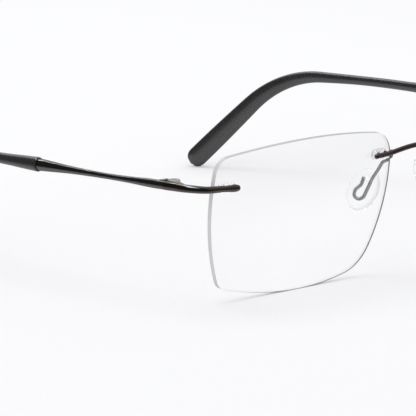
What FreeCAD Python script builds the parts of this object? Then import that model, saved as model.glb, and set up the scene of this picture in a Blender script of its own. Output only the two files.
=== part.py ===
import FreeCAD, Part
import math
import os

import Sketcher

# Rimless eyeglasses: two drilled lenses clamped by clear bushes to a bridge
# and two endpieces, with wire nose-pad arms, screw hinges and sleeved temples.
#
# Row frame: +X is the wearer's left, -Y is the front, +Z is up, and Z = 0 is
# the table that the lens bottoms and temple tips rest on.
# Only the wearer's right side is drawn. The left side is its mirror image.

Vector = FreeCAD.Vector
Rotation = FreeCAD.Rotation
Placement = FreeCAD.Placement

os.makedirs("parts", exist_ok=True)
doc = FreeCAD.newDocument("eyeglasses")

# ---------------------------------------------------------------- dimensions
# Lengths are in millimetres and angles in degrees.
SIZES = [
    ("front_depth", 59.43, "lens centre to the origin, along Y"),
    ("lens_offset", 37.0, "lens centre to the mid plane"),
    ("lens_height", 16.54, "lens centre above the table"),
    ("lens_wrap", 5.0, "face-form angle of each lens"),
    ("lens_tilt", 6.0, "pantoscopic tilt of each lens"),
    ("lens_thickness", 1.1, "lens, front surface to back surface"),
    ("lens_curve", 110.0, "radius of the lens's front surface"),
    ("lens_stock", 16.0, "depth of the block that the lens is cut from"),
    ("stock_reach", 20.0, "half height beyond every corner of the lens"),
    ("surface_margin", 15.0, "stock removed beyond a lens surface"),
    ("top_side_radius", 126.2, "radius of the lens's top edge"),
    ("nasal_side_radius", 45.7, "radius of the lens's nose-side edge"),
    ("bottom_side_radius", 86.0, "radius of the lens's bottom edge"),
    ("temporal_side_radius", 40.4, "radius of the lens's temple-side edge"),
    ("top_temporal_across", 23.75, "corner of the outline, before rounding"),
    ("top_temporal_up", 13.92, "the same corner's height"),
    ("top_nasal_across", 26.78, "corner of the outline, before rounding"),
    ("top_nasal_up", 13.67, "the same corner's height"),
    ("bottom_nasal_across", 18.75, "corner of the outline, before rounding"),
    ("bottom_nasal_down", 14.65, "the same corner's depth"),
    ("bottom_temporal_across", 21.60, "corner of the outline, before rounding"),
    ("bottom_temporal_down", 14.06, "the same corner's depth"),
    ("top_temporal_radius", 4.0, "rounding of that corner of the lens"),
    ("top_nasal_radius", 5.8, "rounding of that corner of the lens"),
    ("bottom_nasal_radius", 9.7, "rounding of that corner of the lens"),
    ("bottom_temporal_radius", 3.0, "rounding of that corner of the lens"),
    ("pin_radius", 0.45, "mounting pin"),
    ("pin_depth", 1.0, "end of a pin below the lens's front surface"),
    ("pin_end_gap", 0.05, "end of a pin to the bottom of its bush"),
    ("pin_clearance", 0.01, "pin to bush, on the radius"),
    ("sleeve_radius", 0.78, "outside of a clear bush's sleeve"),
    ("hole_clearance", 0.01, "bush sleeve to lens hole, on the radius"),
    ("bush_plate_thickness", 0.6, "back plate of a clear bush"),
    ("bush_plate_width", 2.3, "back plate across its two pins"),
    ("seat_gap", 0.03, "between a lens surface and what lies on it"),
    ("endpiece_pin_pitch", 2.5, "between the two pins of an endpiece"),
    ("endpiece_mount_across", 21.8, "middle of the endpiece on its lens"),
    ("endpiece_mount_up", 8.1, "the same point's height"),
    ("endpiece_slope", 1.4, "rise of the endpiece along the lens"),
    ("endpiece_overlap", 2.55, "endpiece from its middle to its inner end"),
    ("endpiece_toe_height", 1.3, "endpiece section at its inner end"),
    ("endpiece_toe_depth", 1.2, "the same section, front to back"),
    ("endpiece_bend_height", 1.5, "endpiece section at the bend"),
    ("endpiece_bend_depth", 1.45, "the same section, inside to outside"),
    ("endpiece_bend_radius", 5.0, "centre line of the bend to the temple"),
    ("bridge_radius", 0.55, "bridge bar"),
    ("bridge_end_radius", 0.4, "rounding of the bridge's two tips"),
    ("bridge_pin_pitch", 2.6, "between the two pins of a bridge end"),
    ("bridge_mount_across", 23.3, "middle of a bridge end on its lens"),
    ("bridge_mount_up", 9.67, "the same point's height"),
    ("bridge_slope", -0.6, "fall of the bridge end along the lens"),
    ("bridge_overlap", 3.3, "bridge end from its middle to its tip"),
    ("bridge_reach", 2.5, "bridge end from its middle to its knee"),
    ("bridge_rise", 0.88, "arch of the bridge above its knees"),
    ("bridge_bow", 0.5, "arch of the bridge in front of its knees"),
    ("pad_wire_radius", 0.37, "nose-pad arm"),
    ("pad_wire_clearance", 0.01, "silicone to the wire inside it"),
    ("pad_length", 9.8, "nose pad"),
    ("pad_width", 7.2, "nose pad"),
    ("pad_thickness", 3.0, "nose pad"),
    ("hinge_offset", 65.3, "hinge axis to the mid plane"),
    ("hinge_setback", 12.45, "hinge axis behind the lens centre"),
    ("hinge_base", 24.54, "bottom of the hinge above the table"),
    ("knuckle_height", 0.6, "each of the three hinge knuckles"),
    ("knuckle_gap", 0.03, "between neighbouring knuckles"),
    ("knuckle_radius", 1.3, "outside of a hinge knuckle"),
    ("knuckle_sweep", 1.38, "clearance cylinder round the knuckles"),
    ("hinge_plate", 1.7, "width of a hinge leaf before it is fitted to its bar"),
    ("hinge_reach", 1.75, "hinge axis to the outer side of a leaf"),
    ("front_leaf_length", 2.9, "front leaf, from the hinge axis forwards"),
    ("rear_leaf_length", 3.9, "rear leaf, from the hinge axis backwards"),
    ("front_leaf_slope", 18.0, "fall of the front leaf's top, in degrees"),
    ("rear_leaf_slope", 20.0, "fall of the rear leaf's top, in degrees"),
    ("screw_radius", 0.5, "hinge screw shank"),
    ("screw_clearance", 0.03, "shank to knuckle, on the radius"),
    ("screw_head_radius", 0.85, "hinge screw head"),
    ("screw_head_height", 0.3, "hinge screw head"),
    ("screw_slot_width", 0.25, "slot in the screw head"),
    ("screw_slot_depth", 0.15, "slot in the screw head"),
    ("temple_joint", 0.12, "gap between an endpiece and its temple"),
    ("temple_level", 25.42, "temple centre line above the table"),
    ("temple_root_height", 1.95, "temple section at the hinge"),
    ("temple_root_depth", 1.5, "the same section, inside to outside"),
    ("temple_waist_height", 1.27, "temple section at its narrowest"),
    ("temple_waist_depth", 1.1, "the same section, inside to outside"),
    ("temple_lobe_height", 2.8, "temple section where the tip starts"),
    ("temple_lobe_depth", 2.2, "the same section, inside to outside"),
    ("temple_length", 36.8, "metal part of the temple"),
    ("core_radius", 0.6, "wire core inside the temple tip"),
    ("core_clearance", 0.01, "tip to core, on the radius"),
    ("core_stop", 5.0, "solid end of the tip beyond the core"),
    ("tip_mouth_height", 3.05, "temple tip section at its front end"),
    ("tip_mouth_depth", 2.5, "the same section, inside to outside"),
    ("tip_neck_height", 2.35, "temple tip section at its narrowest"),
    ("tip_neck_depth", 2.05, "the same section, inside to outside"),
    ("tip_end_height", 5.2, "temple tip section near its end"),
    ("tip_end_depth", 2.0, "the same section, inside to outside"),
    ("ear_bend_radius", 26.0, "centre line of the bend over the ear"),
]

sheet = doc.addObject("Spreadsheet::Sheet", "sizes")
for row, (alias, value, meaning) in enumerate(SIZES, start=1):
    sheet.set("A%d" % row, meaning)
    sheet.set("B%d" % row, str(value))
    sheet.setAlias("B%d" % row, alias)
doc.recompute()


def size(alias):
    return float(sheet.get(alias))


def bind(obj, **expressions):
    for name, expression in expressions.items():
        obj.setExpression(name, expression)


def in_row(across, back, up):
    """A point given from the mid plane, the lens centres and the table."""
    return Vector(across, back - size("front_depth"), up)


# ------------------------------------------------------- points and frames
# A lens's own frame: X towards the nose, Y up and Z out of its front surface.
LENS_FRAME = Placement(
    in_row(-size("lens_offset"), 0, size("lens_height")),
    Rotation(Vector(0, 0, 1), -size("lens_wrap"))
    * Rotation(Vector(1, 0, 0), 90 + size("lens_tilt")),
)


def seat_on_lens(across, up, slope):
    """The lens frame's placement of a seat on the front surface.

    Its Z is the surface's normal and its X runs along the bar fixed there.
    """
    radius = size("lens_curve")
    height = math.sqrt(radius ** 2 - across ** 2 - up ** 2)
    normal = Vector(across, up, height).normalize()
    lean = math.radians(slope)
    bar = Vector(math.cos(lean), math.sin(lean), 0)
    along = (bar - normal * bar.dot(normal)).normalize()
    centre = Vector(across, up, height - radius)
    return Placement(centre, Rotation(along, normal.cross(along), normal, "ZXY"))


ENDPIECE_SEAT = seat_on_lens(
    -size("endpiece_mount_across"), size("endpiece_mount_up"), -size("endpiece_slope")
)
BRIDGE_SEAT = seat_on_lens(
    size("bridge_mount_across"), size("bridge_mount_up"), size("bridge_slope")
)


def on_seat(seat, along, out):
    """A point of the row frame, measured from a seat on the right lens."""
    return (LENS_FRAME * seat).multVec(Vector(along, 0, out))


def rounded_path(points, radii):
    """Edges of the straight runs through the points, with tangent arcs."""
    edges = []
    start = points[0]
    for corner, after, radius in zip(points[1:-1], points[2:], radii):
        arriving = (corner - start).normalize()
        leaving = (after - corner).normalize()
        half_turn = arriving.getAngle(leaving) / 2
        cut = radius * math.tan(half_turn)
        arc_start = corner - arriving * cut
        arc_end = corner + leaving * cut
        inward = (leaving - arriving).normalize()
        arc_middle = corner + inward * (radius / math.cos(half_turn) - radius)
        edges.append(Part.LineSegment(start, arc_start).toShape())
        edges.append(Part.Arc(arc_start, arc_middle, arc_end).toShape())
        start = arc_end
    edges.append(Part.LineSegment(start, points[-1]).toShape())
    return edges


def path_length(edges):
    return sum(edge.Length for edge in edges)


def at_length(edges, distance):
    """The point and the direction of a path, at a distance along it."""
    for edge in edges[:-1]:
        if distance <= edge.Length:
            break
        distance -= edge.Length
    else:
        edge = edges[-1]
    place = edge.getParameterByLength(min(distance, edge.Length))
    return edge.valueAt(place), edge.tangentAt(place)


def frame_along(point, direction):
    """A section's placement: its Z along the path and its X as near up."""
    side = direction.cross(Vector(0, 0, 1)).normalize()
    up = side.cross(direction)
    return Placement(point, Rotation(up, -side, direction, "ZXY"))


# ------------------------------------------------------------ shape helpers
def loft(name, edges, sections):
    """A solid through upright elliptical sections along a path.

    Each section is its distance along the path, its height, its depth and
    a scale, the heights and depths written as expressions on the sheet.
    """
    rings = []
    for number, (distance, height, depth, scale) in enumerate(sections):
        ring = doc.addObject("Part::Ellipse", "%s_ring_%d" % (name, number))
        bind(
            ring,
            MajorRadius="(%s) * %.4f / 2" % (height, scale),
            MinorRadius="(%s) * %.4f / 2" % (depth, scale),
        )
        ring.Placement = frame_along(*at_length(edges, distance))
        rings.append(ring)
    solid = doc.addObject("Part::Loft", name)
    solid.Sections = rings
    solid.Solid = True
    solid.Ruled = False
    return solid


def sweep(name, edges, radius):
    """A round wire along a path, its radius an expression on the sheet."""
    spine = doc.addObject("Part::Feature", name + "_spine")
    spine.Shape = Part.Wire(edges)
    ring = doc.addObject("Part::Circle", name + "_ring")
    bind(ring, Radius=radius)
    start = edges[0].valueAt(edges[0].FirstParameter)
    heading = edges[0].tangentAt(edges[0].FirstParameter)
    ring.Placement = Placement(start, Rotation(Vector(0, 0, 1), heading))
    wire = doc.addObject("Part::Sweep", name)
    wire.Sections = [ring]
    wire.Spine = (spine, ["Edge%d" % (n + 1) for n in range(len(edges))])
    wire.Solid = True
    return wire


def cylinder(name, radius, height, placement):
    shape = doc.addObject("Part::Cylinder", name)
    bind(shape, Radius=radius, Height=height)
    shape.Placement = placement
    return shape


def box(name, length, width, height, placement):
    shape = doc.addObject("Part::Box", name)
    bind(shape, Length=length, Width=width, Height=height)
    shape.Placement = placement
    return shape


def fuse(name, shapes):
    joined = doc.addObject("Part::MultiFuse", name)
    joined.Shapes = shapes
    joined.Refine = True
    return joined


def cut(name, base, tools):
    """The base less one tool, or less several that are joined first."""
    tool = tools[0]
    if len(tools) > 1:
        tool = fuse(name + "_tool", tools)
    result = doc.addObject("Part::Cut", name)
    result.Base = base
    result.Tool = tool
    return result


def rounded_end(length, steps=(0.0, 0.1, 0.4, 1.0)):
    """Distances from a blunt end, each with the scale of a round nose."""
    return [(step * length, math.sqrt(1 - 0.92 * (1 - step) ** 2)) for step in steps]


def mix(first, second, share):
    """An expression part way from one sheet cell to another."""
    return "sizes.%s * %.3f + sizes.%s * %.3f" % (first, 1 - share, second, share)


# ------------------------------------------------------------------- lens
OUTLINE_CORNERS = [
    # across, up, and the sheet cells of both and of the rounding there
    (1, 1, "top_nasal_across", "top_nasal_up", "top_nasal_radius"),
    (-1, 1, "top_temporal_across", "top_temporal_up", "top_temporal_radius"),
    (-1, -1, "bottom_temporal_across", "bottom_temporal_down", "bottom_temporal_radius"),
    (1, -1, "bottom_nasal_across", "bottom_nasal_down", "bottom_nasal_radius"),
]
OUTLINE_SIDES = [
    "top_side_radius",
    "temporal_side_radius",
    "bottom_side_radius",
    "nasal_side_radius",
]
ORIGIN_POINT = (-1, 1)
START_POINT = 1
END_POINT = 2
CENTRE_POINT = 3


def new_sketch(body, name, plane_role, offset=Placement()):
    sketch = body.newObject("Sketcher::SketchObject", name)
    plane = [item for item in body.Origin.OriginFeatures if item.Role == plane_role][0]
    sketch.AttachmentSupport = (plane, "")
    sketch.MapMode = "FlatFace"
    sketch.AttachmentOffset = offset
    return sketch


def bound(sketch, expression, *constraint):
    number = sketch.addConstraint(Sketcher.Constraint(*constraint))
    sketch.setExpression("Constraints[%d]" % number, expression)


def from_origin(sketch, kind, sign, geometry, point, value, expression):
    """Fix a point's distance from the sketch's origin, on either side."""
    if sign > 0:
        bound(sketch, expression, kind, *ORIGIN_POINT, geometry, point, value)
    else:
        bound(sketch, expression, kind, geometry, point, *ORIGIN_POINT, value)


def arc_between(start, end, radius):
    """A counter-clockwise arc in the sketch's plane."""
    chord = end - start
    to_centre = Vector(-chord.y, chord.x, 0).normalize()
    centre = (start + end) * 0.5 + to_centre * math.sqrt(radius ** 2 - chord.Length ** 2 / 4)
    first = math.atan2(start.y - centre.y, start.x - centre.x)
    last = math.atan2(end.y - centre.y, end.x - centre.x)
    circle = Part.Circle(centre, Vector(0, 0, 1), radius)
    return Part.ArcOfCircle(circle, first, last if last > first else last + 2 * math.pi)


def lens_outline(body):
    """The lens's front view, as four arcs that meet in four corners."""
    sketch = new_sketch(body, "outline", "XY_Plane")
    corners = [
        Vector(across * size(across_cell), up * size(up_cell), 0)
        for across, up, across_cell, up_cell, _ in OUTLINE_CORNERS
    ]
    for number, radius_cell in enumerate(OUTLINE_SIDES):
        end = corners[(number + 1) % 4]
        sketch.addGeometry(arc_between(corners[number], end, size(radius_cell)), False)
    for number in range(4):
        follower = (number + 1) % 4
        joint = Sketcher.Constraint("Coincident", number, END_POINT, follower, START_POINT)
        sketch.addConstraint(joint)
    for number, (across, up, across_cell, up_cell, _) in enumerate(OUTLINE_CORNERS):
        from_origin(sketch, "DistanceX", across, number, START_POINT,
                    size(across_cell), "sizes." + across_cell)
        from_origin(sketch, "DistanceY", up, number, START_POINT,
                    size(up_cell), "sizes." + up_cell)
    for number, radius_cell in enumerate(OUTLINE_SIDES):
        bound(sketch, "sizes." + radius_cell, "Radius", number, size(radius_cell))
    return sketch


def surface_profile(body, name, radius, radius_expression, stock_side):
    """The stock beyond a spherical surface, drawn for a turn about Y.

    The sketch's origin is the centre of the sphere. stock_side is 1 for the
    stock before the front surface and -1 for the stock behind the back one.
    """
    centre = Placement(Vector(0, -size("lens_curve"), 0), Rotation())
    sketch = new_sketch(body, name, "YZ_Plane", centre)
    sketch.setExpression("AttachmentOffset.Base.y", "-sizes.lens_curve")
    reach = size("stock_reach")
    rim = math.sqrt(radius ** 2 - reach ** 2)
    stop = radius + stock_side * size("surface_margin")
    angle = math.acos(reach / radius)
    circle = Part.Circle(Vector(0, 0, 0), Vector(0, 0, 1), radius)
    arc = sketch.addGeometry(Part.ArcOfCircle(circle, angle, math.pi - angle), False)
    corners = [
        Vector(-reach, rim, 0), Vector(-reach, stop, 0), Vector(reach, stop, 0),
        Vector(reach, rim, 0),
    ]
    sides = [
        sketch.addGeometry(Part.LineSegment(first, last), False)
        for first, last in zip(corners, corners[1:])
    ]
    loop = [arc] + sides
    for number, item in enumerate(loop):
        follower = loop[(number + 1) % len(loop)]
        sketch.addConstraint(
            Sketcher.Constraint("Coincident", item, END_POINT, follower, START_POINT)
        )
    sketch.addConstraint(Sketcher.Constraint("Vertical", sides[0]))
    sketch.addConstraint(Sketcher.Constraint("Horizontal", sides[1]))
    sketch.addConstraint(Sketcher.Constraint("Vertical", sides[2]))
    sketch.addConstraint(Sketcher.Constraint("Coincident", arc, CENTRE_POINT, *ORIGIN_POINT))
    bound(sketch, radius_expression, "Radius", arc, radius)
    from_origin(sketch, "DistanceX", 1, arc, START_POINT, reach, "sizes.stock_reach")
    from_origin(sketch, "DistanceX", -1, arc, END_POINT, reach, "sizes.stock_reach")
    sign = "+" if stock_side > 0 else "-"
    from_origin(sketch, "DistanceY", 1, sides[1], END_POINT, stop,
                "%s %s sizes.surface_margin" % (radius_expression, sign))
    return sketch


def turn_away(body, name, profile):
    """Remove a profile turned to both sides about the sphere's upright axis."""
    before = body.Tip.Shape.Volume
    groove = body.newObject("PartDesign::Groove", name)
    groove.Profile = profile
    groove.ReferenceAxis = (profile, ["H_Axis"])
    groove.Angle = 60
    groove.Midplane = True
    doc.recompute()
    assert groove.Shape.Volume < before, name + " removed nothing"


def round_corner(body, across_cell, up_cell, across, up, radius_cell):
    """Round the upright edge of the stock at one corner of the outline."""
    corner = Vector(across * size(across_cell), up * size(up_cell), 0)
    stock = body.Tip
    reach = size("lens_stock")
    nearest = min(
        range(len(stock.Shape.Edges)),
        key=lambda n: (stock.Shape.Edges[n].CenterOfMass - corner).Length
        + abs(stock.Shape.Edges[n].Length - reach),
    )
    fillet = body.newObject("PartDesign::Fillet", "round_" + across_cell)
    fillet.Base = (stock, ["Edge%d" % (nearest + 1)])
    bind(fillet, Radius="sizes." + radius_cell)
    doc.recompute()


def drill_pair(body, name, seat, pitch_cell):
    """Drill the two holes for a bush, square to the surface at a seat."""
    before = body.Tip.Shape.Volume
    sketch = new_sketch(body, name + "_holes", "XY_Plane", seat)
    half_pitch = size(pitch_cell) / 2
    radius = size("sleeve_radius") + size("hole_clearance")
    for side in (-1, 1):
        circle = Part.Circle(Vector(side * half_pitch, 0, 0), Vector(0, 0, 1), radius)
        hole = sketch.addGeometry(circle, False)
        sketch.addConstraint(Sketcher.Constraint("PointOnObject", hole, CENTRE_POINT, -1))
        bound(sketch, "sizes.sleeve_radius + sizes.hole_clearance", "Radius", hole, radius)
        from_origin(sketch, "DistanceX", side, hole, CENTRE_POINT,
                    half_pitch, "sizes.%s / 2" % pitch_cell)
    pocket = body.newObject("PartDesign::Pocket", name)
    pocket.Profile = sketch
    pocket.Midplane = True
    bind(pocket, Length="sizes.lens_stock")
    doc.recompute()
    assert pocket.Shape.Volume < before, name + " removed nothing"


def make_lens():
    body = doc.addObject("PartDesign::Body", "lens")
    outline = lens_outline(body)
    stock = body.newObject("PartDesign::Pad", "stock")
    stock.Profile = outline
    stock.Midplane = True
    bind(stock, Length="sizes.lens_stock")
    doc.recompute()
    for across, up, across_cell, up_cell, radius_cell in OUTLINE_CORNERS:
        round_corner(body, across_cell, up_cell, across, up, radius_cell)
    front = size("lens_curve")
    back = front - size("lens_thickness")
    turn_away(body, "front_surface",
              surface_profile(body, "before_front", front, "sizes.lens_curve", 1))
    turn_away(body, "back_surface",
              surface_profile(body, "behind_back", back,
                              "sizes.lens_curve - sizes.lens_thickness", -1))
    drill_pair(body, "endpiece_holes", ENDPIECE_SEAT, "endpiece_pin_pitch")
    drill_pair(body, "bridge_holes", BRIDGE_SEAT, "bridge_pin_pitch")
    body.Placement = LENS_FRAME
    return body


# ------------------------------------------------------- pins and bushes
def pin_axes(seat, pitch_cell, out):
    """The placements of a seat's two pins, at a height above the surface."""
    half_pitch = size(pitch_cell) / 2
    return [
        LENS_FRAME * seat * Placement(Vector(side * half_pitch, 0, out), Rotation())
        for side in (-1, 1)
    ]


def make_pins(name, seat, pitch_cell):
    """Two pins from the middle of a bar down into the lens."""
    return [
        cylinder("%s_pin_%d" % (name, number), "sizes.pin_radius", "sizes.pin_depth + 0.5", place)
        for number, place in enumerate(pin_axes(seat, pitch_cell, -size("pin_depth")))
    ]


def make_bush(name, seat, pitch_cell):
    """A clear plate behind the lens, with two blind sleeves in its holes."""
    plate_top = size("seat_gap") + size("lens_thickness")
    plate_bottom = plate_top + size("bush_plate_thickness")
    bore_bottom = size("pin_depth") + size("pin_end_gap")
    solids = []
    for number, place in enumerate(pin_axes(seat, pitch_cell, -plate_bottom)):
        solids.append(cylinder("%s_sleeve_%d" % (name, number), "sizes.sleeve_radius",
                               "sizes.lens_thickness + sizes.bush_plate_thickness", place))
        solids.append(cylinder("%s_lobe_%d" % (name, number), "sizes.bush_plate_width / 2",
                               "sizes.bush_plate_thickness", place))
    bores = [
        cylinder("%s_bore_%d" % (name, number), "sizes.pin_radius + sizes.pin_clearance",
                 "sizes.lens_thickness * 2", place)
        for number, place in enumerate(pin_axes(seat, pitch_cell, -bore_bottom))
    ]
    corner = Vector(-size(pitch_cell) / 2, -size("bush_plate_width") / 2, -plate_bottom)
    solids.append(box(name + "_plate", "sizes." + pitch_cell, "sizes.bush_plate_width",
                      "sizes.bush_plate_thickness",
                      LENS_FRAME * seat * Placement(corner, Rotation())))
    return cut(name, fuse(name + "_body", solids), bores)


# --------------------------------------------------------------- endpiece
def endpiece_path():
    """Centre line: over the lens, round the corner and back to the hinge."""
    out = size("endpiece_toe_depth") / 2 + 3 * size("seat_gap")
    toe = on_seat(ENDPIECE_SEAT, size("endpiece_overlap"), out)
    first_turn = on_seat(ENDPIECE_SEAT, -5.6, out + 0.1)
    heel = in_row(-67.45, size("hinge_setback") + 0.1, size("temple_level"))
    second_turn = in_row(-67.1, 7.6, size("temple_level") - 0.05)
    bend = size("endpiece_bend_radius")
    return rounded_path([toe, first_turn, second_turn, heel], [bend, bend])


def make_endpiece():
    edges = endpiece_path()
    whole = path_length(edges)
    toe = "sizes.endpiece_toe_height"
    toe_depth = "sizes.endpiece_toe_depth"
    sections = [
        (distance, toe, toe_depth, scale) for distance, scale in rounded_end(0.4)
    ]
    bend_start = 8.0
    for distance in (3.0, 5.5):
        share = distance / bend_start
        sections.append((distance, mix("endpiece_toe_height", "endpiece_bend_height", share),
                         mix("endpiece_toe_depth", "endpiece_bend_depth", share), 1.0))
    bar_steps = 7
    for step in range(bar_steps + 1):
        share = step / bar_steps
        distance = bend_start + share * (whole - bend_start)
        sections.append((distance, mix("endpiece_bend_height", "temple_root_height", share),
                         mix("endpiece_bend_depth", "temple_root_depth", share), 1.0))
    bar = loft("endpiece_bar", edges, sections)
    return fuse("endpiece", [bar] + make_pins("endpiece", ENDPIECE_SEAT, "endpiece_pin_pitch"))


# ----------------------------------------------------------------- bridge
def edges_at(shape, *places):
    """The numbers of the round edges centred on some places."""
    return [
        number
        for number, edge in enumerate(shape.Edges, start=1)
        for place in places
        if (edge.CenterOfMass - place).Length < 0.01
    ]


def mirrored(point):
    return Vector(-point.x, point.y, point.z)


def make_bridge():
    out = size("bridge_radius") + size("seat_gap")
    tip = on_seat(BRIDGE_SEAT, -size("bridge_overlap"), out)
    knee = on_seat(BRIDGE_SEAT, size("bridge_reach"), out)
    shoulder = Vector(knee.x * 0.45, knee.y - size("bridge_bow"), knee.z + size("bridge_rise"))
    right = [tip, knee, shoulder]
    points = right + [mirrored(point) for point in reversed(right)]
    knee_radius = 6.0
    arch_radius = 30.0
    edges = rounded_path(points, [knee_radius, arch_radius, arch_radius, knee_radius])
    bar = sweep("bridge_bar", edges, "sizes.bridge_radius")
    doc.recompute()
    rounded = doc.addObject("Part::Fillet", "bridge_ends")
    rounded.Base = bar
    nose = size("bridge_end_radius")
    rounded.Edges = [(number, nose, nose) for number in edges_at(bar.Shape, points[0], points[-1])]
    pins = make_pins("bridge", BRIDGE_SEAT, "bridge_pin_pitch")
    left_pins = [mirror("bridge_left_pin_%d" % n, pin) for n, pin in enumerate(pins)]
    return fuse("bridge", [rounded] + pins + left_pins)


# --------------------------------------------------- nose-pad arm and pad
# The arm starts upright behind the bridge, runs back past the lens's edge
# and ends in a hairpin inside the pad.
PAD_ARM_POINTS = [
    (-9.70, 0.40, 26.95),
    (-9.65, 0.40, 25.45),
    (-9.00, 2.35, 24.60),
    (-9.82, 3.40, 23.97),
    (-9.64, 5.00, 21.73),
    (-9.59, 6.45, 19.87),
    (-10.24, 7.06, 17.74),
    (-11.22, 7.45, 15.82),
    (-11.72, 8.30, 15.17),
    (-12.12, 9.35, 15.82),
    (-11.59, 9.62, 17.07),
    (-10.49, 8.66, 18.32),
    (-9.79, 8.56, 19.90),
]
PAD_ARM_RADII = [0.75, 0.9, 1.2, 2.0, 3.0, 5.0, 0.9, 0.9, 0.9, 1.6, 1.2]
PAD_CENTRE = (-10.75, 7.9, 17.35)
PAD_TOP = Vector(0.45, -0.13, 0.88)
PAD_FACE = Vector(0.87, 0.29, -0.40)


def pad_arm_path():
    return rounded_path([in_row(*point) for point in PAD_ARM_POINTS], PAD_ARM_RADII)


def make_pad_arm():
    return sweep("pad_arm", pad_arm_path(), "sizes.pad_wire_radius")


def make_nose_pad():
    blank = doc.addObject("Part::Ellipsoid", "pad_blank")
    bind(
        blank,
        Radius1="sizes.pad_length / 2",
        Radius2="sizes.pad_width / 2",
        Radius3="sizes.pad_thickness / 2",
    )
    across = PAD_FACE.cross(PAD_TOP)
    blank.Placement = Placement(in_row(*PAD_CENTRE), Rotation(across, PAD_FACE, PAD_TOP, "ZYX"))
    wire = sweep("pad_bore", pad_arm_path(), "sizes.pad_wire_radius + sizes.pad_wire_clearance")
    return cut("nose_pad", blank, [wire])


# ------------------------------------------------------------------ hinge
def hinge_point(across, back, up):
    """A placement given from the bottom of the hinge axis."""
    place = in_row(across - size("hinge_offset"), back + size("hinge_setback"),
                   up + size("hinge_base"))
    return Placement(place, Rotation())


KNUCKLE_PITCH = size("knuckle_height") + size("knuckle_gap")
HINGE_HEIGHT = "(3 * sizes.knuckle_height + 2 * sizes.knuckle_gap)"
HINGE_TOP = 3 * KNUCKLE_PITCH - size("knuckle_gap")
REAR_FLAT = 2.2
SLOPE_STOCK = 6.0


def slope_cut(name, start, heading, slope):
    """Stock above a plane that falls away from the top of a hinge leaf.

    The plane starts at a distance from the hinge axis along Y, and heading is
    1 where it falls backwards and -1 where it falls forwards.
    """
    edge = hinge_point(0, heading * start, HINGE_TOP)
    tilt = Rotation(Vector(1, 0, 0), -heading * size(slope))
    corner = Vector(-size("hinge_reach") * 2, 0 if heading > 0 else -SLOPE_STOCK, 0)
    return box(name, "4 * sizes.hinge_reach", "%s" % SLOPE_STOCK, "sizes.hinge_reach",
               Placement(edge.Base, tilt) * Placement(corner, Rotation()))


def make_front_leaf(endpiece_bar):
    """Plate brazed inside the endpiece, with the top and bottom knuckles."""
    outside = -size("hinge_reach")
    middle = outside + size("hinge_plate") / 2
    length = size("front_leaf_length")
    plate = box("front_plate", "sizes.hinge_plate", "sizes.front_leaf_length",
                HINGE_HEIGHT, hinge_point(outside, -length, 0))
    toe = cylinder("front_toe", "sizes.hinge_plate / 2", HINGE_HEIGHT,
                   hinge_point(middle, -length, 0))
    barrel = cylinder("front_barrel", "sizes.knuckle_radius", HINGE_HEIGHT,
                      hinge_point(0, 0, 0))
    slot = cylinder("front_slot", "sizes.knuckle_sweep",
                    "sizes.knuckle_height + 2 * sizes.knuckle_gap",
                    hinge_point(0, 0, size("knuckle_height")))
    bore = cylinder("front_bore", "sizes.screw_radius + sizes.screw_clearance",
                    HINGE_HEIGHT, hinge_point(0, 0, 0))
    recess_base = HINGE_TOP - size("screw_head_height") - size("knuckle_gap")
    recess = cylinder("front_recess", "sizes.screw_head_radius + sizes.screw_clearance",
                      "sizes.knuckle_height", hinge_point(0, 0, recess_base))
    return cut("hinge_front_leaf", fuse("front_leaf_body", [plate, toe, barrel]),
               [slot, bore, recess, slope_cut("front_slope", size("knuckle_sweep"), -1,
                                              "front_leaf_slope"), endpiece_bar])


def make_rear_leaf(temple_bar):
    """Plate brazed inside the temple, with the middle knuckle."""
    outside = -size("hinge_reach")
    middle = outside + size("hinge_plate") / 2
    sweep_radius = size("knuckle_sweep")
    plate = box("rear_plate", "sizes.hinge_plate", "sizes.rear_leaf_length - sizes.knuckle_sweep",
                HINGE_HEIGHT, hinge_point(outside, sweep_radius, 0))
    heel = cylinder("rear_heel", "sizes.hinge_plate / 2", HINGE_HEIGHT,
                    hinge_point(middle, size("rear_leaf_length"), 0))
    web_width = size("knuckle_radius")
    web = box("rear_web", "sizes.knuckle_radius", "sizes.knuckle_sweep + 0.2",
              "sizes.knuckle_height", hinge_point(-web_width, 0, KNUCKLE_PITCH))
    barrel = cylinder("rear_barrel", "sizes.knuckle_radius", "sizes.knuckle_height",
                      hinge_point(0, 0, KNUCKLE_PITCH))
    bore = cylinder("rear_bore", "sizes.screw_radius + sizes.screw_clearance",
                    HINGE_HEIGHT, hinge_point(0, 0, 0))
    return cut("hinge_rear_leaf", fuse("rear_leaf_body", [plate, heel, web, barrel]),
               [bore, slope_cut("rear_slope", REAR_FLAT, 1, "rear_leaf_slope"), temple_bar])


def make_screw():
    """A slotted screw down the hinge axis, its head sunk in the top."""
    head_base = HINGE_TOP - size("screw_head_height")
    shank = cylinder("screw_shank", "sizes.screw_radius",
                     HINGE_HEIGHT + " - sizes.screw_head_height", hinge_point(0, 0, 0))
    head = cylinder("screw_head", "sizes.screw_head_radius", "sizes.screw_head_height",
                    hinge_point(0, 0, head_base))
    slot = box("screw_slot", "2 * sizes.screw_head_radius", "sizes.screw_slot_width",
               "sizes.screw_slot_depth",
               hinge_point(-size("screw_head_radius"), -size("screw_slot_width") / 2,
                           HINGE_TOP - size("screw_slot_depth")))
    return cut("hinge_screw", fuse("screw_body", [shank, head]), [slot])


# ------------------------------------------------------- temple and its tip
TEMPLE_START = size("hinge_setback") + 0.1 + size("temple_joint")


def temple_path():
    """Centre line of the metal part, splayed slightly outwards."""
    level = size("temple_level")
    return rounded_path(
        [
            in_row(-67.45, TEMPLE_START, level),
            in_row(-68.60, TEMPLE_START + 17.5, level),
            in_row(-69.05, TEMPLE_START + size("temple_length"), level),
        ],
        [200.0],
    )


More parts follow.
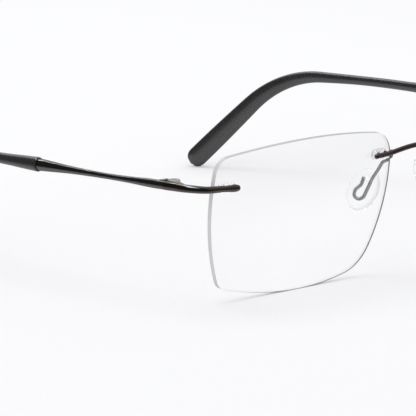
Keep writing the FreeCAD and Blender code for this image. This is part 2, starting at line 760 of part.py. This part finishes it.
def tip_path():
    """Centre line of the tip: straight, over the ear and down behind it."""
    level = size("temple_level")
    return rounded_path(
        [
            in_row(-69.05, TEMPLE_START + size("temple_length"), level),
            in_row(-69.62, 74.0, level),
            in_row(-64.20, 99.0, level - 0.3),
            in_row(-51.40, 119.8, 0.73),
        ],
        [90.0, size("ear_bend_radius")],
    )


def make_temple():
    edges = temple_path()
    whole = path_length(edges)
    root, waist, lobe = [
        ("temple_%s_height" % part, "temple_%s_depth" % part)
        for part in ("root", "waist", "lobe")
    ]
    profile = [
        # share of the length, the two sizes that are mixed, share of the second
        (0.0, root, waist, 0.0),
        (0.07, root, waist, 0.04),
        (0.137, root, waist, 0.17),
        (0.20, root, waist, 0.46),
        (0.265, root, waist, 0.74),
        (0.34, root, waist, 0.92),
        (0.44, root, waist, 1.0),
        (0.57, waist, lobe, 0.06),
        (0.66, waist, lobe, 0.16),
        (0.75, waist, lobe, 0.32),
        (0.84, waist, lobe, 0.56),
        (0.92, waist, lobe, 0.78),
        (1.0, waist, lobe, 1.0),
    ]
    sections = [
        (share * whole, mix(first[0], second[0], part), mix(first[1], second[1], part), 1.0)
        for share, first, second, part in profile
    ]
    bar = loft("temple_bar", edges, sections)
    core = sweep("temple_core", core_path(), "sizes.core_radius")
    return fuse("temple", [bar, core])


def core_path():
    """The tip's centre line, stopped short of its end."""
    edges = tip_path()
    last = edges[-1]
    start = last.valueAt(last.FirstParameter)
    end = last.valueAt(last.getParameterByLength(last.Length - size("core_stop")))
    return edges[:-1] + [Part.LineSegment(start, end).toShape()]


def make_temple_tip():
    edges = tip_path()
    whole = path_length(edges)
    mouth, neck, end = [
        ("tip_%s_height" % part, "tip_%s_depth" % part) for part in ("mouth", "neck", "end")
    ]
    nose = 3.2
    profile = [
        (0.0, mouth, neck, 0.0),
        (0.03, mouth, neck, 0.2),
        (0.08, mouth, neck, 0.6),
        (0.15, mouth, neck, 0.95),
        (0.30, neck, end, 0.0),
        (0.45, neck, end, 0.05),
        (0.58, neck, end, 0.2),
        (0.66, neck, end, 0.36),
        (0.74, neck, end, 0.55),
        (0.82, neck, end, 0.76),
        (0.90, neck, end, 0.94),
    ]
    sections = [
        (share * whole, mix(first[0], second[0], part), mix(first[1], second[1], part), 1.0)
        for share, first, second, part in profile
    ]
    for distance, scale in reversed(rounded_end(nose)):
        sections.append((whole - distance, "sizes.tip_end_height", "sizes.tip_end_depth", scale))
    sleeve = loft("tip_sleeve", edges, sections)
    bore = sweep("tip_bore", core_path(), "sizes.core_radius + sizes.core_clearance")
    return cut("temple_tip", sleeve, [bore])


# ------------------------------------------------------------- both sides
def mirror(name, source):
    """The wearer's left twin of a piece drawn for the right."""
    twin = doc.addObject("Part::Mirroring", name)
    twin.Source = source
    twin.Base = Vector(0, 0, 0)
    twin.Normal = Vector(1, 0, 0)
    return twin


def both_sides(label, right):
    right.Label = label + "_right"
    left = mirror(label + "_left", right)
    left.Label = label + "_left"
    return [right, left]


bridge = make_bridge()
bridge.Label = "bridge"
pieces = [bridge]
pieces += both_sides("lens", make_lens())
pieces += both_sides("endpiece", make_endpiece())
pieces += both_sides("endpiece_bush",
                     make_bush("endpiece_bush", ENDPIECE_SEAT, "endpiece_pin_pitch"))
pieces += both_sides("bridge_bush", make_bush("bridge_bush", BRIDGE_SEAT, "bridge_pin_pitch"))
pieces += both_sides("pad_arm", make_pad_arm())
pieces += both_sides("nose_pad", make_nose_pad())
pieces += both_sides("hinge_front_leaf", make_front_leaf(doc.endpiece_bar))
pieces += both_sides("hinge_screw", make_screw())
pieces += both_sides("temple", make_temple())
pieces += both_sides("hinge_rear_leaf", make_rear_leaf(doc.temple_bar))
pieces += both_sides("temple_tip", make_temple_tip())
doc.recompute()

# ----------------------------------------------------------------- export
for item in doc.Objects:
    failed = [state for state in item.State if state in ("Invalid", "Error")]
    assert not failed, "%s: %s" % (item.Name, item.State)
for piece in pieces:
    assert not piece.Shape.isNull(), piece.Label + " has no shape"
    assert piece.Shape.isValid(), piece.Label + " isn't valid"
    assert len(piece.Shape.Solids) == 1, piece.Label + " isn't one solid"
for piece in pieces:
    piece.Shape.exportStep("parts/%s.step" % piece.Label)
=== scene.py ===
import math

import bmesh
import bpy
from mathutils import Matrix, Vector


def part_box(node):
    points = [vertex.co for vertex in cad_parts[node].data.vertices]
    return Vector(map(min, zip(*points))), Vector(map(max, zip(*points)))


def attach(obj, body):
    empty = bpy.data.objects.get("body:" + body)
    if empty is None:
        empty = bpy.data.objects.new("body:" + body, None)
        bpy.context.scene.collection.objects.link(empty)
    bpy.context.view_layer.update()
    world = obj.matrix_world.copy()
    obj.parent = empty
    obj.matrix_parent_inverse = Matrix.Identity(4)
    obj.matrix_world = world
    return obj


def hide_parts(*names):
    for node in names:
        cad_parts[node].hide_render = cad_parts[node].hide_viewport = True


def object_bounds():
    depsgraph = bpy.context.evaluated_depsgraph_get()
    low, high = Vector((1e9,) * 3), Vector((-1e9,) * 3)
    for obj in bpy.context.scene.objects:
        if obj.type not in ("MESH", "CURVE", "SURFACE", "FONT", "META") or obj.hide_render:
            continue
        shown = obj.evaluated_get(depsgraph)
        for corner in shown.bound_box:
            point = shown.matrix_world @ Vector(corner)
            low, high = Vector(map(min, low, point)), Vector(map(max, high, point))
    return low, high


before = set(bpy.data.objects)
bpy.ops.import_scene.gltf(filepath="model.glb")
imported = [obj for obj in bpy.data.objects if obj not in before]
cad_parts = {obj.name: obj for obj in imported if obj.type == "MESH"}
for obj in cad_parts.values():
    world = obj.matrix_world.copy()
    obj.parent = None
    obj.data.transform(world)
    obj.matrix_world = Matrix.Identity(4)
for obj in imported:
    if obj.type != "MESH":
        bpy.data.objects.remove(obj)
CAD_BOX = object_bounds()
scene = bpy.context.scene
MM = 0.001
# Camera: directions in degrees, distance in metres, lens and aim in mm. The
# aim is from the middle of the right lens.
CAMERA_AZIMUTH = -46.5
CAMERA_ELEVATION = 11.3
CAMERA_DISTANCE = 0.6
CAMERA_LENS = 246.4
CAMERA_AIM = Vector((-17.11, 11.10, 1.84))
# Studio, in metres and watts. Gloss sees the floor out to NEAR_FLOOR and, beyond it, the floor
# painted near black as a painted reflection of a dark room; it sees the strip light along the
# middle direction, narrow across the other.
FLOOR_SIZE = 8
FLOOR_MIDDLE = (0.03, 0.03, 0)
# How far out the painted shade ring on the paper reaches.
PAINTED_SHADE_REACH = 4.0
NEAR_FLOOR = (0.112, 0.185)
WORLD_STRENGTH = 0.885
STUDIO_STRENGTH = 2.6
STRIP_MIDDLE = (-0.291, -0.056, 0.955)
STRIP_ACROSS = (0.759, -0.621, 0.195)
LAMP_OFFSET = Vector((-0.16, 1.08, 2.04))
LAMP_SIZE = 1.44
LAMP_POWER = 10.5
# Share of a lamp's light that each clear surface lets by.
SHADOW_PASS = 0.78
# Colours of the black plating.
BRIDGE_TINT = (0.088, 0.074, 0.067)
ENDPIECE_TINT = (0.125, 0.108, 0.098)
TEMPLE_TINT = (0.14, 0.134, 0.13)
PLATING_EDGE = (0.56, 0.54, 0.64)
# Soft pieces, in millimetres: the tips' line is from the low corner of the
# right one's box, and the pad's directions are those of the right pad. Each
# mouth step is how much smaller than the mouth it is, and how far back.
TIP_LINE = [(1.386, 0.019, 25.421), (0.816, 24.549, 25.421), (6.236, 49.559, 25.114),
            (19.036, 70.359, 0.731)]
TIP_BENDS = [90.0, 26.0]
TIP_OVERLAP = 0.45
TIP_NOSE = 3.0
TIP_BORE = 2.4
TIP_POINTS = 56
MOUTH_STEPS = [(0.42, TIP_BORE), (0.42, 0.25), (0.34, 0.08), (0.22, 0.0), (0.10, 0.04)]
TIP_KEYS = [(0.0, (3.12, 2.58)), (0.15, (2.40, 2.08)), (0.30, (2.35, 2.05)), (0.95, (5.2, 2.0))]
PAD_LENGTH = 9.8
PAD_WIDTH = 7.2
PAD_TOP = Vector((0.45, -0.13, 0.88))
PAD_FACE = Vector((0.87, 0.29, -0.40))
PAD_RINGS = 26
PAD_POINTS = 64


# ------------------------------------------------------------------ helpers
def middle(node):
    low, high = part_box(node)
    return (low + high) / 2


def link(obj):
    scene.collection.objects.link(obj)
    return obj


class Shader:
    """A node material, or the world, built from short calls."""

    def __init__(self, owner):
        owner.use_nodes = True
        self.tree = owner.node_tree
        self.tree.nodes.clear()

    def add(self, kind, **values):
        node = self.tree.nodes.new("ShaderNode" + kind)
        for name, value in values.items():
            if hasattr(node, name):
                setattr(node, name, value)
            else:
                self.put(node, name.replace("_", " "), value)
        return node

    def put(self, node, socket_name, value):
        socket = {s.name.lower(): s for s in node.inputs}[socket_name.lower()]
        if isinstance(value, bpy.types.NodeSocket):
            self.tree.links.new(value, socket)
        else:
            socket.default_value = value

    def wire(self, source, node, number):
        self.tree.links.new(source, node.inputs[number])

    def noise(self, scale, detail=4.0, stretch=(1, 1, 1)):
        """Solid noise in metres, the same in every pose of its body."""
        where = self.add("TexCoord")
        mapping = self.add("Mapping")
        self.wire(where.outputs["Object"], mapping, 0)
        mapping.inputs["Scale"].default_value = stretch
        texture = self.add("TexNoise", scale=scale, detail=detail)
        self.wire(mapping.outputs[0], texture, 0)
        return texture.outputs["Fac"]

    def ramp(self, source, *stops):
        """Stops are pairs of a place and an RGBA colour."""
        node = self.add("ValToRGB")
        self.wire(source, node, 0)
        elements = node.color_ramp.elements
        while len(elements) < len(stops):
            elements.new(0.5)
        for element, (place, colour) in zip(elements, stops):
            element.position = place
            element.color = colour
        return node.outputs["Color"]

    def spread(self, source, low, high, start=0.0, stop=1.0):
        """A value moved from one range, 0 to 1 if not given, to another."""
        node = self.add("MapRange")
        self.wire(source, node, 0)
        node.inputs["From Min"].default_value = start
        node.inputs["From Max"].default_value = stop
        node.inputs["To Min"].default_value = low
        node.inputs["To Max"].default_value = high
        return node.outputs[0]

    def bump(self, source, depth, strength=1.0):
        node = self.add("Bump", distance=depth, strength=strength)
        self.put(node, "height", source)
        return node.outputs["Normal"]

    def surface(self, lets_light_by=False, **values):
        """The material's shader. Clear surfaces can let lamps' light by."""
        shader = self.add("BsdfPrincipled", **values)
        output = self.add("OutputMaterial")
        if not lets_light_by:
            self.wire(shader.outputs[0], output, 0)
            return
        path = self.add("LightPath")
        open_air = self.add("BsdfTransparent")
        self.put(open_air, "color", grey(SHADOW_PASS))
        mix = self.add("MixShader")
        self.wire(path.outputs["Is Shadow Ray"], mix, 0)
        self.wire(shader.outputs[0], mix, 1)
        self.wire(open_air.outputs[0], mix, 2)
        self.wire(mix.outputs[0], output, 0)

    def mirrored_rays(self):
        """1 for light that reaches the camera by glossy reflection, or 0."""
        path = self.add("LightPath")
        both_kinds = self.add("Math", operation="MULTIPLY")
        self.wire(path.outputs["Is Glossy Ray"], both_kinds, 0)
        self.wire(path.outputs["Is Reflection Ray"], both_kinds, 1)
        unscattered = self.add("Math", operation="LESS_THAN")
        self.wire(path.outputs["Diffuse Depth"], unscattered, 0)
        unscattered.inputs[1].default_value = 0.5
        share = self.add("Math", operation="MULTIPLY")
        self.wire(both_kinds.outputs[0], share, 0)
        self.wire(unscattered.outputs[0], share, 1)
        return share.outputs[0]

    def step(self, source, start, stop):
        """A soft step from 0 to 1."""
        node = self.add("MapRange", interpolation_type="SMOOTHSTEP")
        self.wire(source, node, 0)
        node.inputs["From Min"].default_value = start
        node.inputs["From Max"].default_value = stop
        return node.outputs[0]

    def along(self, source, direction):
        """How far a vector reaches along a direction."""
        node = self.add("VectorMath", operation="DOT_PRODUCT")
        self.wire(source, node, 0)
        node.inputs[1].default_value = direction
        return node.outputs["Value"]

    def blend(self, share, first, second):
        """A colour between two, each a colour or a socket."""
        node = self.add("Mix", data_type="RGBA")
        self.wire(share, node, 0)
        for number, value in ((6, first), (7, second)):
            if isinstance(value, bpy.types.NodeSocket):
                self.wire(value, node, number)
            else:
                node.inputs[number].default_value = value
        return node.outputs[2]


def grey(value, alpha=1.0):
    return (value, value, value, alpha)


def tinted(red, green, blue):
    return (red, green, blue, 1.0)


# ------------------------------------------------------------------- camera
def make_camera():
    """The long lens of a product picture, from the wearer's front right."""
    azimuth, elevation = math.radians(CAMERA_AZIMUTH), math.radians(CAMERA_ELEVATION)
    back = Vector((
        math.sin(azimuth) * math.cos(elevation),
        -math.cos(azimuth) * math.cos(elevation),
        math.sin(elevation),
    ))
    aim = middle("lens_right") + CAMERA_AIM * MM
    data = bpy.data.cameras.new("camera")
    data.lens = CAMERA_LENS
    data.clip_end = 50
    camera = link(bpy.data.objects.new("camera", data))
    camera.location = aim + back * CAMERA_DISTANCE
    camera.rotation_mode = "QUATERNION"
    camera.rotation_quaternion = (-back).to_track_quat("-Z", "Y")
    scene.camera = camera


# ------------------------------------------------------------ studio, lights
def make_floor():
    """White paper, painted darker in a ring away from the object as painted shade. Gloss sees it
    only near the object; beyond that it is painted near black, a painted reflection of a dark room.
    """
    bpy.ops.mesh.primitive_plane_add(size=FLOOR_SIZE, location=(0, 0, 0))
    floor = bpy.context.object
    floor.name = "floor"
    material = bpy.data.materials.new("floor_paper")
    shader = Shader(material)
    grain = shader.noise(900)
    paper = shader.ramp(grain, (0.3, tinted(0.924, 0.925, 0.938)),
                        (0.7, tinted(0.934, 0.935, 0.948)))
    where = shader.add("TexCoord")
    offset = shader.add("VectorMath", operation="DISTANCE")
    shader.wire(where.outputs["Object"], offset, 0)
    offset.inputs[1].default_value = FLOOR_MIDDLE
    # Painted shade: the paper darkens from about 0.24 m out, deepest near 1 m, fading out by 3.6 m.
    shade = shader.ramp(
        shader.spread(offset.outputs["Value"], 0.0, 1.0, 0.0, PAINTED_SHADE_REACH),
        (0.06, grey(0.0)), (0.24, grey(1.0)), (0.45, grey(0.5)), (0.90, grey(0.0)),
    )
    paper_with_painted_shade = shader.blend(shade, paper, tinted(0.858, 0.859, 0.868))
    # Painted reflection: beyond NEAR_FLOOR, glossy rays see the floor painted near black.
    painted_dark_reflection_mask = shader.add("Math", operation="MULTIPLY")
    shader.wire(shader.step(offset.outputs["Value"], *NEAR_FLOOR), painted_dark_reflection_mask, 0)
    shader.wire(shader.mirrored_rays(), painted_dark_reflection_mask, 1)
    shader.surface(
        base_color=shader.blend(painted_dark_reflection_mask.outputs[0], paper_with_painted_shade, grey(0.05)),
        roughness=0.9, specular_ior_level=0.0,
    )
    floor.data.materials.append(material)


def make_world():
    """A white tent, which gloss sees as a dark room with a wall and a strip."""
    world = bpy.data.worlds.new("tent")
    scene.world = world
    shader = Shader(world)
    where = shader.add("TexCoord").outputs["Generated"]
    parts = shader.add("SeparateXYZ")
    shader.wire(where, parts, 0)
    backwards = shader.spread(parts.outputs["Y"], 0.0, 1.0, -1.0, 1.0)
    wall = shader.ramp(
        backwards,
        (0.12, grey(0.09)), (0.30, grey(0.21)), (0.46, grey(0.30)), (0.60, grey(0.50)),
    )
    to_right = shader.step(parts.outputs["X"], -0.24, 0.04)
    room = shader.blend(to_right, grey(0.03), wall)
    along = shader.along(where, STRIP_MIDDLE)
    across = shader.add("Math", operation="ABSOLUTE")
    shader.wire(shader.along(where, STRIP_ACROSS), across, 0)
    strip = shader.add("Math", operation="MULTIPLY")
    shader.wire(shader.step(along, 0.86, 0.91), strip, 0)
    shader.wire(shader.step(across.outputs[0], 0.22, 0.12), strip, 1)
    studio = shader.add("Background", strength=STUDIO_STRENGTH)
    shader.wire(shader.blend(strip.outputs[0], room, tinted(2.3, 2.7, 3.4)), studio, 0)
    tent = shader.add("Background", strength=WORLD_STRENGTH)
    tent.inputs[0].default_value = grey(1.0)
    seen = shader.add("MixShader")
    shader.wire(shader.mirrored_rays(), seen, 0)
    shader.wire(tent.outputs[0], seen, 1)
    shader.wire(studio.outputs[0], seen, 2)
    output = shader.add("OutputWorld")
    shader.wire(seen.outputs[0], output, 0)
    world.cycles.sampling_method = "NONE"


def make_lamp():
    """A round softbox above and behind, aimed at the middle of the object."""
    centre = (CAD_BOX[0] + CAD_BOX[1]) / 2
    data = bpy.data.lights.new("overhead", "AREA")
    data.shape = "DISK"
    data.size = LAMP_SIZE
    data.energy = LAMP_POWER
    data.cycles.use_multiple_importance_sampling = False
    lamp = link(bpy.data.objects.new("overhead", data))
    lamp.location = centre + LAMP_OFFSET
    lamp.rotation_mode = "QUATERNION"
    lamp.rotation_quaternion = (centre - lamp.location).to_track_quat("-Z", "Y")


# ---------------------------------------------------------------- materials
def black_metal(name, tint):
    """Gloss black plating with the faint lay of polishing under it."""
    material = bpy.data.materials.new(name)
    shader = Shader(material)
    polish = shader.noise(2600, 3, (1, 0.12, 1))
    patches = shader.noise(180, 2)
    shader.surface(
        base_color=shader.ramp(patches, (0.3, tinted(*[c * 0.92 for c in tint])),
                               (0.7, tinted(*tint))),
        metallic=1.0,
        specular_tint=tinted(*PLATING_EDGE),
        roughness=shader.spread(polish, 0.10, 0.17),
        normal=shader.bump(polish, 0.000004),
    )
    return material


def plain_metal(name, dark, light, rough):
    """Satin metal with fine drawn lines."""
    material = bpy.data.materials.new(name)
    shader = Shader(material)
    lines = shader.noise(4000, 4, (1, 0.08, 1))
    shader.surface(
        base_color=shader.ramp(lines, (0.3, tinted(*dark)), (0.7, tinted(*light))),
        metallic=1.0,
        specular_tint=grey(0.85),
        roughness=shader.spread(lines, rough * 0.8, rough * 1.2),
        normal=shader.bump(lines, 0.000006),
    )
    return material


def lens_clear():
    """Polished plastic with an anti-reflection coat."""
    material = bpy.data.materials.new("lens_clear")
    shader = Shader(material)
    haze = shader.noise(60, 2)
    shader.surface(
        base_color=shader.ramp(haze, (0.3, grey(0.995)), (0.7, grey(1.0))),
        transmission_weight=1.0,
        ior=1.5,
        specular_ior_level=0.12,
        roughness=0.0,
        lets_light_by=True,
    )
    return material


def lens_edge():
    """Ground edge: pale and matt, with painted shade that darkens it by its slant to the view, most
    where seen through the lens.
    """
    material = bpy.data.materials.new("lens_edge")
    shader = Shader(material)
    grind = shader.noise(5200, 3, (1, 1, 0.2))
    matt = shader.ramp(grind, (0.3, tinted(0.60, 0.60, 0.60)), (0.7, tinted(0.68, 0.68, 0.68)))
    slant = shader.add("LayerWeight").outputs["Facing"]
    # Painted shade: from outside, the edge darkens as it slants away from the view; from inside the
    # lens, it is darkened most at middling slants.
    painted_shade_outside = shader.ramp(slant, (0.45, grey(0.0)), (0.80, grey(0.42)))
    painted_shade_inside = shader.ramp(
        slant, (0.30, grey(0.0)), (0.44, grey(1.0)), (0.57, grey(1.0)), (0.70, grey(0.04)),
    )
    through_lens = shader.add("NewGeometry").outputs["Backfacing"]
    share = shader.blend(through_lens, painted_shade_outside, painted_shade_inside)
    shader.surface(
        # The near-black colour is the painted shade.
        base_color=shader.blend(share, matt, tinted(0.105, 0.092, 0.108)),
        ior=1.5,
        roughness=shader.spread(grind, 0.45, 0.65),
        normal=shader.bump(grind, 0.00001),
    )
    return material


def clear_plastic(name, tint, painted_rim_reflection, alpha, ior, rough):
    """Clear moulded plastic or silicone: soft ripples, and a bluish painted reflection at the rim,
    where the surface slants from the view.
    """
    material = bpy.data.materials.new(name)
    shader = Shader(material)
    ripple = shader.noise(700, 2)
    body = shader.ramp(ripple, (0.3, tinted(*[c * 0.97 for c in tint])), (0.7, tinted(*tint)))
    slant = shader.add("LayerWeight").outputs["Facing"]
    shader.surface(
        # Painted reflection: the colour turns bluish where the surface slants away from the view.
        base_color=shader.blend(shader.step(slant, 0.45, 0.85), body, tinted(*painted_rim_reflection)),
        transmission_weight=1.0,
        ior=ior,
        alpha=alpha,
        roughness=shader.spread(ripple, rough * 0.7, rough * 1.3),
        normal=shader.bump(ripple, 0.00002),
        lets_light_by=True,
    )
    return material


def tip_rubber():
    """Matt black temple tip: fine moulded grain and worn high spots."""
    material = bpy.data.materials.new("tip_rubber")
    shader = Shader(material)
    grain = shader.noise(3500, 5)
    wear = shader.noise(140, 3)
    shader.surface(
        base_color=shader.ramp(wear, (0.3, tinted(0.018, 0.0175, 0.019)),
                               (0.7, tinted(0.026, 0.025, 0.0265))),
        specular_ior_level=0.8,
        roughness=shader.spread(grain, 0.22, 0.32),
        normal=shader.bump(grain, 0.000003),
    )
    return material


# --------------------------------------------------------- dressing the CAD
def dress(nodes, material):
    for node in nodes:
        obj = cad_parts[node]
        obj.data.materials.clear()
        obj.data.materials.append(material)


def both(name):
    return [name + "_right", name + "_left"]


def dress_lens(side, clear, edge):
    """Clear surfaces and holes, and a ground face round the outline."""
    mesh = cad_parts["lens_" + side].data
    mesh.materials.clear()
    mesh.materials.append(clear)
    mesh.materials.append(edge)
    axis = sum((p.normal * p.area for p in mesh.polygons if p.normal.y < -0.7), Vector())
    axis.normalize()
    holes = [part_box(name + side) for name in ("endpiece_bush_", "bridge_bush_")]
    for polygon in mesh.polygons:
        in_hole = any(
            all(low[n] <= polygon.center[n] <= high[n] for n in range(3)) for low, high in holes
        )
        ground = abs(polygon.normal.dot(axis)) < 0.7 and not in_hole
        polygon.material_index = 1 if ground else 0


# ------------------------------------------------------------ soft pieces
def skin(name, rings, closed_start, closed_end):
    """A closed mesh through rings of points, its ends capped by a point."""
    mesh = bmesh.new()
    rows = [[mesh.verts.new(point) for point in ring] for ring in rings]
    count = len(rows[0])
    for first, second in zip(rows, rows[1:]):
        for n in range(count):
            follower = (n + 1) % count
            mesh.faces.new((first[n], first[follower], second[follower], second[n]))
    for row, cap in ((rows[0], closed_start), (rows[-1], closed_end)):
        pole = mesh.verts.new(cap)
        for n in range(count):
            follower = (n + 1) % count
            corners = (row[n], row[follower], pole)
            mesh.faces.new(corners if row is rows[-1] else corners[::-1])
    bmesh.ops.recalc_face_normals(mesh, faces=mesh.faces)
    data = bpy.data.meshes.new(name)
    mesh.to_mesh(data)
    mesh.free()
    for polygon in data.polygons:
        polygon.use_smooth = True
    return link(bpy.data.objects.new(name, data))


def mirrored(points, side):
    """Points of the right side, or their mirror images for the left."""
    return points if side == "right" else [Vector((-p.x, p.y, p.z)) for p in points]


def pad_section(reach):
    """Heights of the nose face and the wire face, in mm, out to the rim."""
    crown = 1.32 * (1 - reach ** 2.2) ** 0.62
    seat = 0.80 * (1 - reach ** 3.0) ** 0.55
    lip = 0.16 * math.exp(-((reach - 0.84) / 0.08) ** 2)
    boss = 0.42 / (1 + math.exp((reach - 0.52) / 0.045))
    return crown, seat + lip + boss


def make_nose_pad(side, material):
    """Oval silicone pad: domed to the nose, with a lip and a raised wire bed."""
    centre = middle("nose_pad_right")
    face = PAD_FACE.normalized()
    top = (PAD_TOP - face * PAD_TOP.dot(face)).normalized()
    across = face.cross(top)
    reaches = [n / PAD_RINGS for n in range(1, PAD_RINGS - 1)] + [0.955, 0.985, 1.0]

    def ring(reach, height):
        points = []
        for n in range(PAD_POINTS):
            angle = 2 * math.pi * n / PAD_POINTS
            up = math.sin(angle)
            egg = 1 - 0.05 * up
            place = across * (math.cos(angle) * PAD_WIDTH / 2 * egg * reach)
            place += top * (up * PAD_LENGTH / 2 * reach) + face * height
            points.append(centre + place * MM)
        return mirrored(points, side)

    rings = [ring(reach, pad_section(reach)[0]) for reach in reaches]
    rings += [ring(reach, -pad_section(reach)[1]) for reach in reversed(reaches[:-1])]
    poles = [centre + face * (pad_section(0)[0] * MM), centre - face * (pad_section(0)[1] * MM)]
    pad = skin("pad_" + side, rings, *mirrored(poles, side))
    pad.data.materials.append(material)
    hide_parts("nose_pad_" + side)
    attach(pad, "front")


def rounded_line(points, radii, step):
    """Points along straight runs joined by tangent arcs."""
    line = [points[0]]

    def run_to(end):
        start = line[-1]
        pieces = max(1, round((end - start).length / step))
        line.extend(start.lerp(end, n / pieces) for n in range(1, pieces + 1))

    for corner, after, radius in zip(points[1:-1], points[2:], radii):
        arriving = (corner - line[-1]).normalized()
        leaving = (after - corner).normalized()
        turn = arriving.angle(leaving)
        reach = radius * math.tan(turn / 2)
        run_to(corner - arriving * reach)
        start = line[-1]
        inward = (leaving - arriving).normalized()
        hub = corner + inward * (radius / math.cos(turn / 2))
        pieces = max(4, round(radius * turn / step))
        axis = arriving.cross(leaving).normalized()
        for n in range(1, pieces + 1):
            swing = Matrix.Rotation(turn * n / pieces, 3, axis)
            line.append(hub + swing @ (start - hub))
    run_to(points[-1])
    return line


def ease(value, keys):
    """Smooth steps between pairs of a place and a tuple of sizes."""
    for (place, sizes), (next_place, next_sizes) in zip(keys, keys[1:]):
        if value <= next_place:
            share = min(max((value - place) / (next_place - place), 0), 1)
            share = share * share * (3 - 2 * share)
            return [a + (b - a) * share for a, b in zip(sizes, next_sizes)]
    return list(keys[-1][1])


def make_tip(side, material):
    """Soft sleeve over the temple: open lipped mouth, slim neck, flat end."""
    low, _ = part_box("temple_tip_right")
    points = [low + Vector(offset) * MM for offset in TIP_LINE]
    forward = (points[0] - points[1]).normalized()
    points[0] += forward * (TIP_OVERLAP * MM)
    line = rounded_line(points, [r * MM for r in TIP_BENDS], 0.5 * MM)
    lengths = [0.0]
    for first, second in zip(line, line[1:]):
        lengths.append(lengths[-1] + (second - first).length)
    whole = lengths[-1]

    def ring(number, height, depth, back=0.0):
        before, after = line[max(number - 1, 0)], line[min(number + 1, len(line) - 1)]
        heading = (after - before).normalized()
        side_way = heading.cross(Vector((0, 0, 1))).normalized()
        up = side_way.cross(heading)
        hub = line[number] + heading * back
        points = []
        for n in range(TIP_POINTS):
            angle = 2 * math.pi * n / TIP_POINTS
            c, s = math.cos(angle), math.sin(angle)
            seam = 0.035 * math.exp(-((abs(c) - 1) / 0.004) ** 2) if height > 1 else 0
            rise = math.copysign(abs(c) ** 0.92, c) * (height / 2 + seam)
            out = math.copysign(abs(s) ** 0.92, s) * depth / 2
            points.append(hub + (up * rise + side_way * out) * MM)
        return mirrored(points, side)

    rings = []
    mouth_height, mouth_depth = TIP_KEYS[0][1]
    for inset, back in MOUTH_STEPS:
        rings.append(ring(0, mouth_height - inset, mouth_depth - inset, back * MM))
    for number in range(1, len(line)):
        left = whole - lengths[number]
        height, depth = ease(lengths[number] / whole, TIP_KEYS)
        bead = 0.10 * math.exp(-(lengths[number] / (0.9 * MM)) ** 2)
        share = min(left / (TIP_NOSE * MM), 1)
        nose = math.sqrt(max(1 - (1 - share) ** 2.4, 0))
        if nose > 0.12:
            rings.append(ring(number, (height + bead) * nose, (depth + bead) * nose))
    floor_of_bore = line[0] + (line[1] - line[0]).normalized() * (TIP_BORE * MM)
    ends = mirrored([floor_of_bore, line[-1]], side)
    tip = skin("tip_" + side, rings, *ends)
    tip.data.materials.append(material)
    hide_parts("temple_tip_" + side)
    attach(tip, "temple_arm_" + side)


make_camera()
make_floor()
make_world()
make_lamp()

dress(["bridge"], black_metal("black_plating_warm", BRIDGE_TINT))
dress(both("endpiece"), black_metal("black_plating_brown", ENDPIECE_TINT))
dress(both("temple"), black_metal("black_plating", TEMPLE_TINT))
dress(both("hinge_front_leaf") + both("hinge_rear_leaf"),
      plain_metal("nickel_silver", (0.17, 0.17, 0.15), (0.24, 0.24, 0.21), 0.3))
dress(both("hinge_screw"), plain_metal("screw_steel", (0.18, 0.18, 0.18), (0.26, 0.26, 0.26), 0.25))
dress(both("pad_arm"), plain_metal("wire_steel", (0.17, 0.165, 0.18), (0.22, 0.215, 0.23), 0.3))
bush = clear_plastic("clear_bush", (0.945, 0.925, 1.0), (0.62, 0.56, 1.0), 0.3, 1.25, 0.05)
dress(both("endpiece_bush") + both("bridge_bush"), bush)
silicone = clear_plastic("clear_silicone", (0.97, 0.98, 0.985), (0.50, 0.70, 1.0), 0.34, 1.3, 0.1)
rubber = tip_rubber()
for side in ("right", "left"):
    make_nose_pad(side, silicone)
    make_tip(side, rubber)
clear, edge = lens_clear(), lens_edge()
for side in ("right", "left"):
    dress_lens(side, clear, edge)

scene.view_settings.view_transform = "Standard"
scene.cycles.use_denoising = True
scene.cycles.max_bounces = 16
scene.cycles.transmission_bounces = 16
scene.cycles.transparent_max_bounces = 16
scene.cycles.blur_glossy = 0.0
